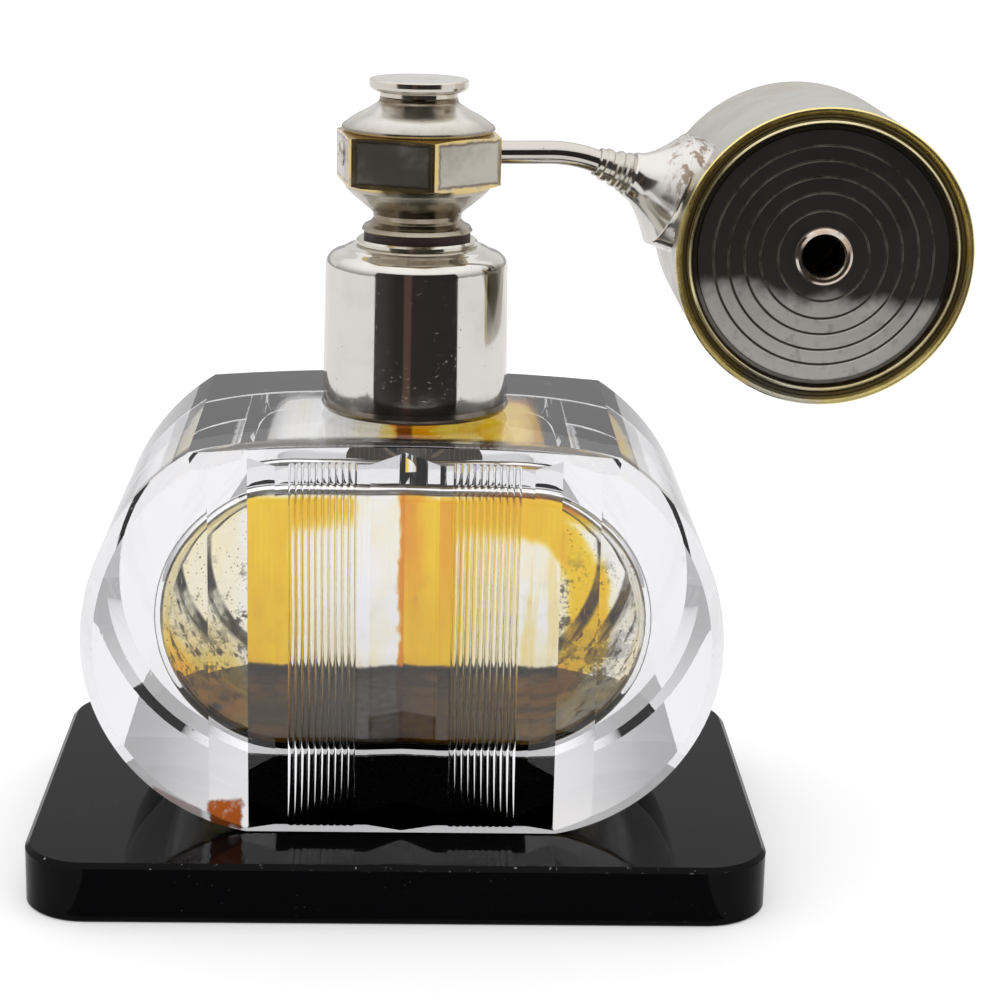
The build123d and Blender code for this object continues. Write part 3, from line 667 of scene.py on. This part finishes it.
# ================================================================ dried perfume inside the bottle
CAVITY_HALF_LENGTH = 38.5 * MM
CAVITY_HALF_HEIGHT = 21.5 * MM
CAVITY_HALF_DEPTH = 18.5 * MM
CAVITY_ROUND = 2.5 * MM
CAVITY_CENTRE = Vector((BLOCK_AXIS.x, BLOCK_AXIS.y, 42.5 * MM))
NECK_HOLE_R = 5.6 * MM
FILM_GAP = 0.08 * MM
FILM_WALL = 0.06 * MM


def stadium(inset, y):
    """Loop of points round the cavity's outline, drawn in by inset, at depth y."""
    straight_steps = 90
    round_steps = 48
    centre = CAVITY_HALF_LENGTH - CAVITY_HALF_HEIGHT
    reach = CAVITY_HALF_HEIGHT - inset
    loop = []
    for side in (1, -1):
        for i in range(straight_steps):
            x = side * centre * (2 * i / straight_steps - 1)
            loop.append(Vector((x, y, -side * reach)))
        for i in range(round_steps):
            angle = math.pi * i / round_steps
            x = side * (centre + reach * math.sin(angle))
            loop.append(Vector((x, y, -side * reach * math.cos(angle))))
    return [CAVITY_CENTRE + point for point in loop]


def film_sections():
    """Inset and depth of each loop of the film, from the middle of one flat wall to the other's."""
    flat = CAVITY_HALF_DEPTH - FILM_GAP
    rounding = CAVITY_ROUND - FILM_GAP
    rings = 6
    arc = 8
    side_steps = 26
    wall = CAVITY_HALF_HEIGHT - CAVITY_ROUND
    sections = [(CAVITY_HALF_HEIGHT - 0.01 * MM, -flat)]
    sections += [(CAVITY_ROUND + wall * (1 - t / rings), -flat) for t in range(1, rings)]
    for i in range(arc + 1):
        angle = math.pi / 2 * (1 - i / arc)
        inset = FILM_GAP + rounding * (1 - math.cos(angle))
        sections.append((inset, -flat + rounding * (1 - math.sin(angle))))
    straight = flat - rounding
    sections += [(FILM_GAP, straight * (2 * i / side_steps - 1)) for i in range(1, side_steps // 2)]
    sections.append((FILM_GAP, 0.0))
    return sections + [(inset, -y) for inset, y in reversed(sections[:-1])]


def make_film():
    """Thin skin of dried perfume on the whole of the cavity's wall, open under the neck."""
    loops = [stadium(inset, y) for inset, y in film_sections()]
    count = len(loops[0])
    verts = [point for loop in loops for point in loop]
    faces = []
    for row in range(len(loops) - 1):
        for i in range(count):
            j = (i + 1) % count
            quad = (row * count + i, row * count + j, (row + 1) * count + j, (row + 1) * count + i)
            centre = sum((verts[k] for k in quad), Vector()) / 4
            beside_neck = (centre - NECK_AXIS).xy.length > NECK_HOLE_R
            if beside_neck or centre.z < CAVITY_CENTRE.z:
                faces.append(quad)
    film = make_mesh("perfume_film", verts, faces)
    wall = film.modifiers.new("wall", "SOLIDIFY")
    wall.thickness = FILM_WALL
    wall.offset = 0.0
    film.data.materials.append(stain())
    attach(film, "stand")


def arch_mask(s, across, up, z):
    """Curved run on the right of the front wall."""
    bend_x = s.math("SUBTRACT", across, 15 * MM)
    bend_z = s.product(s.math("SUBTRACT", z, 1.5 * MM), 0.92)
    bend = s.math("SQRT", s.math("ADD", s.math("POWER", bend_x, 2.0), s.math("POWER", bend_z, 2.0)))
    arch = s.product(s.band(bend, 11.5 * MM, 17.0 * MM, 0.9 * MM), s.step(bend_x, -2 * MM, 3 * MM))
    top = s.product(s.band(across, 15 * MM, 30 * MM, 2 * MM), s.step(up, 14 * MM, 17 * MM))
    return s.product(s.most(arch, top), s.step(up, -17 * MM, -10 * MM, 0.55, 1.0))


def front_wall_amber(s, across, up, wash):
    """Runs on the front wall: one each side of a clear window, an arch, and faint streaks."""
    left_run = s.product(s.step(across, -24.6 * MM, -23.4 * MM), s.step(across, -15.5 * MM, -18.0 * MM))
    left_cap = s.product(s.band(across, -19 * MM, -8 * MM, 1.2 * MM), s.step(up, 13.5 * MM, 17 * MM))
    window = s.product(s.step(across, 7.0 * MM, 10.0 * MM), s.step(across, 24.0 * MM, 22.5 * MM),
                       s.step(up, 16.0 * MM, 11.5 * MM))
    middle_run = s.product(s.step(across, -1.9 * MM, -1.2 * MM), s.step(across, 20.5 * MM, 18.5 * MM))
    middle_run = s.product(middle_run, s.inverse(window))
    arch = arch_mask(s, across, up, s.xyz()[2])
    left_end = s.product(s.step(across, -24 * MM, -27 * MM), s.step(up, 2 * MM, -12 * MM, 0.16, 0.75))
    streaks = s.step(s.noise(2.2 * MM, 3, stretch=(1, 1, 0.12)), 0.46, 0.60)
    streaks = s.product(window, streaks, 0.34)
    return s.most(left_run, left_cap, middle_run, arch, left_end, streaks, wash)


def amber_mask(s, across, up, front):
    """Where the cavity's wall is stained amber: different on its front, its back and its ceiling."""
    x, z = s.xyz()[::2]
    wash = s.product(s.step(s.noise(9 * MM, 3, stretch=(1, 1, 0.5)), 0.40, 0.70), 0.16)
    front_amber = front_wall_amber(s, across, up, wash)
    back_across = s.math("ADD", x, s.wobble(8 * MM, 9 * MM, (1, 1, 0.4)))
    back_run = s.product(s.band(back_across, -3 * MM, 11 * MM, 1.5 * MM),
                         s.step(z, -18 * MM, 4 * MM, 0.2, 0.75))
    back_side = s.product(s.band(back_across, 22 * MM, 31 * MM, 1.5 * MM), 0.5)
    back_amber = s.most(back_run, back_side, wash)
    ceiling = s.step(z, CAVITY_HALF_HEIGHT - 2.5 * MM, CAVITY_HALF_HEIGHT - 1.2 * MM)
    ceiling_run = s.most(s.band(back_across, -2 * MM, 5 * MM, 0.8 * MM),
                         s.band(back_across, 11 * MM, 28 * MM, 1.5 * MM))
    amber = s.mix(front, s.joined(back_amber, 0.0, 0.0), s.joined(front_amber, 0.0, 0.0))
    amber = s.mix(ceiling, amber, s.joined(s.product(ceiling_run, 0.95), 0.0, 0.0))
    return s.xyz(amber)[0]


def amber_tint(s, across, up):
    """Colour that light takes on in passing through the film."""
    front = s.step(s.xyz()[1], 2 * MM, -6 * MM)
    amber = amber_mask(s, across, up, front)
    depth = s.step(s.noise(4 * MM, 4, stretch=(1, 1, 0.25)), 0.30, 0.72)
    thin = s.mix(amber, (1.0, 1.0, 1.0), (0.97, 0.80, 0.04))
    thick = s.mix(amber, (1.0, 1.0, 1.0), (0.95, 0.72, 0.004))
    burnt_run = s.product(s.band(across, -1.7 * MM, 0.6 * MM, 0.5 * MM), front)
    return s.mix(s.product(burnt_run, 0.8), s.mix(depth, thin, thick), (0.86, 0.46, 0.03))


def crust_masks(s, rough_edge):
    """Foot band, floor, and everything that hides the glass behind it."""
    x, y, z = s.xyz()
    half_height = CAVITY_HALF_HEIGHT
    ragged_z = s.math("ADD", z, s.product(rough_edge, 0.35))
    foot = s.step(ragged_z, 1.9 * MM - half_height, 1.2 * MM - half_height)
    floor = s.step(z, 0.9 * MM - half_height, 0.3 * MM - half_height)

    off_middle = s.math("SUBTRACT", s.math("ABSOLUTE", x), CAVITY_HALF_LENGTH - half_height)
    off_middle = s.math("MAXIMUM", off_middle, 0.0)
    ring = s.math("SQRT", s.math("ADD", s.math("POWER", off_middle, 2.0), s.math("POWER", z, 2.0)))
    rim_line = s.band(ring, half_height - 1.1 * MM, half_height + 1 * MM, 0.25 * MM)
    at_wall = s.step(s.math("ABSOLUTE", y), CAVITY_HALF_DEPTH - 5.0 * MM, CAVITY_HALF_DEPTH - 2.0 * MM)
    rim_line = s.product(rim_line, at_wall, s.step(s.noise(6 * MM, 3), 0.34, 0.58, 0.25, 1.0))

    ends = s.step(s.math("ABSOLUTE", x), 22 * MM, 29 * MM, 0.03, 1.0)
    speckle = s.product(s.step(s.cells(0.9 * MM), 0.17, 0.09), ends,
                        s.step(s.noise(5 * MM, 2), 0.44, 0.58))
    crust = s.product(s.step(s.noise(3.5 * MM, 5, 0.7), 0.54, 0.63), ends, s.step(z, 2 * MM, -9 * MM))
    solid = s.most(s.product(foot, 0.93), s.product(floor, 0.97), s.product(rim_line, 0.9),
                   s.product(speckle, 0.85), s.product(crust, 0.75))
    return foot, floor, solid


def dregs_shade(s, across, foot, floor):
    """Olive brown of the dried dregs: greyer left, darkest in the middle, yellower right."""
    olive = s.mix(s.step(across, -22 * MM, -10 * MM), (0.115, 0.070, 0.020), (0.050, 0.028, 0.007))
    olive = s.mix(s.step(across, 4 * MM, 22 * MM), olive, (0.27, 0.165, 0.008))
    blotches = s.step(s.noise(6 * MM, 5, 0.65, stretch=(0.5, 1, 1)), 0.40, 0.62, 0.0, 0.85)
    dirt = s.mix(blotches, olive, (0.013, 0.006, 0.003))
    return s.mix(s.product(foot, s.inverse(floor), 0.9), dirt, (0.014, 0.006, 0.004))


def stain():
    """Amber runs and brown dried edges: clear where the wall is clean."""
    s = Shader("dried_perfume", CAVITY_CENTRE)
    x, z = s.xyz()[::2]
    rough_edge = s.math("ADD", s.wobble(5 * MM, 5 * MM, (1, 1, 0.45)),
                        s.wobble(1.2 * MM, 1.4 * MM, (1, 1, 0.7)))
    across = s.math("ADD", x, rough_edge)
    up = s.math("ADD", z, rough_edge)
    clear = s.add("ShaderNodeBsdfTransparent")
    s.feed(clear.inputs["Color"], amber_tint(s, across, up))
    foot, floor, solid = crust_masks(s, rough_edge)
    crusty = s.principled(Base_Color=dregs_shade(s, across, foot, floor), Specular_IOR_Level=0.1,
                          Roughness=s.step(s.noise(2 * MM, 3), 0.2, 0.8, 0.35, 0.7),
                          Normal=s.bump(s.noise(0.8 * MM, 4), 0.05 * MM))
    return s.finish(s.blended(solid, clear, crusty))


# ================================================================ finishes for the CAD nodes
def dress(node, material):
    """Puts a material in every slot of a CAD node."""
    for slot in nodes[node].material_slots:
        slot.material = material


def dress_stand():
    neck = NECK_AXIS
    dress("base_plate", black_glass())
    dress("bottle", crystal())
    dress("base_cement", plaster("cement", BLOCK_AXIS, (0.02, 0.018, 0.016)))
    dress("neck_cement", plaster("plaster", neck, (0.62, 0.52, 0.38)))
    dress("neck_collar", plated_metal("silver_plate", neck, roughness=0.055, tarnish=0.30, lathe="Z",
                                      grain=0.4, extra=collar_marks))
    dress("neck_bush", plated_metal("nickel_silver", neck, WARM_SILVER, 0.12, 0.3, lathe="Z"))
    dress("neck_seal", leather("seal_leather", neck, (0.16, 0.08, 0.05)))


def dress_head():
    neck = NECK_AXIS
    horn = middle("pump_horn")
    dress("head_washer", leather("washer_leather", neck, (0.035, 0.008, 0.007)))
    dress("head_body", plated_metal("brushed_silver", neck, (0.52, 0.49, 0.42), 0.18, 0.55,
                                    wear=0.35 * MM, lathe="Z", grain=0.8, extra=head_marks))
    dress("nozzle_tip", plated_metal("nozzle_metal", NOZZLE, WARM_SILVER, 0.16, 0.5, wear=0.2 * MM))
    dress("jet_tube", plated_metal("jet_brass", neck, BRASS, 0.3, 0.5))
    dress("siphon_ferrule", plated_metal("ferrule_brass", neck, BRASS, 0.25, 0.6, lathe="Z"))
    dress("dip_tube", plated_metal("dip_brass", neck, (0.50, 0.36, 0.16), 0.35, 0.8, lathe="Z"))
    dress("head_dome", plated_metal("satin_silver", neck, SILVER, 0.17, 0.35, wear=0.25 * MM,
                                    lathe="Z", extra=dome_marks))
    dress("gland_packing", leather("packing_leather", neck, (0.20, 0.12, 0.07)))
    dress("shutoff_needle", plated_metal("needle_brass", neck, BRASS, 0.2, 0.3))
    dress("closure_knob", plated_metal("knob_silver", neck, WARM_SILVER, 0.12, 0.35, wear=0.3 * MM,
                                       lathe="Z"))
    dress("air_tube", plated_metal("tube_nickel", neck, (0.64, 0.60, 0.55), 0.05, 0.35))
    dress("tube_union", plated_metal("union_nickel", neck, WARM_SILVER, 0.16, 0.6, wear=0.15 * MM))
    dress("pump_horn", plated_metal("horn_nickel", horn, SILVER, 0.12, 0.4, extra=horn_marks))


def dress_pump():
    drum = DRUM_AXIS
    disc_origin = Vector((drum.x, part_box("piston_disc")[0].y, drum.z))
    dress("drum_shell", plated_metal("drum_silver", drum, (0.63, 0.61, 0.565), 0.32, 0.25, lathe="Y",
                                     grain=0.5, extra=drum_marks))
    dress("drum_rim", plated_metal("rim_brass", drum, (0.97, 0.82, 0.30), 0.20, 0.10, lathe="Y",
                                   extra=rim_marks))
    dress("spring_seat", plated_metal("seat_brass", drum, BRASS, 0.3, 0.6, lathe="Y"))
    dress("return_spring", plated_metal("spring_steel", drum, (0.42, 0.41, 0.40), 0.25, 0.5))
    dress("piston_disc", plated_metal("disc_silver", disc_origin, (0.80, 0.775, 0.72), 0.34, 0.35,
                                      lathe="Y", grain=0.8, extra=disc_marks))
    dress("piston_eyelet", plated_metal("eyelet_copper", middle("piston_eyelet"), (0.74, 0.68, 0.60),
                                        0.12, 0.4, lathe="Y", extra=eyelet_marks))
    dress("cup_leather", leather("cup_hide", drum, (0.10, 0.055, 0.03)))
    dress("cup_plate", plated_metal("plate_brass", drum, BRASS, 0.3, 0.6, lathe="Y"))
    dress("eyelet_nut", plated_metal("nut_brass", drum, BRASS, 0.3, 0.6))


def make_spring():
    """The spring as a piece of its own, carried with the head; the CAD node is hidden."""
    spring = bpy.data.objects.new("coil_spring", nodes["return_spring"].data.copy())
    bpy.context.collection.objects.link(spring)
    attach(spring, "head")
    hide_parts("return_spring")
    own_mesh(spring)


make_camera()
make_world()
make_floor()
make_dark_card()
make_back_card()
make_dark_strip()
dress_stand()
dress_head()
dress_pump()
make_spring()
make_film()
bpy.context.scene.view_settings.view_transform = "Standard"
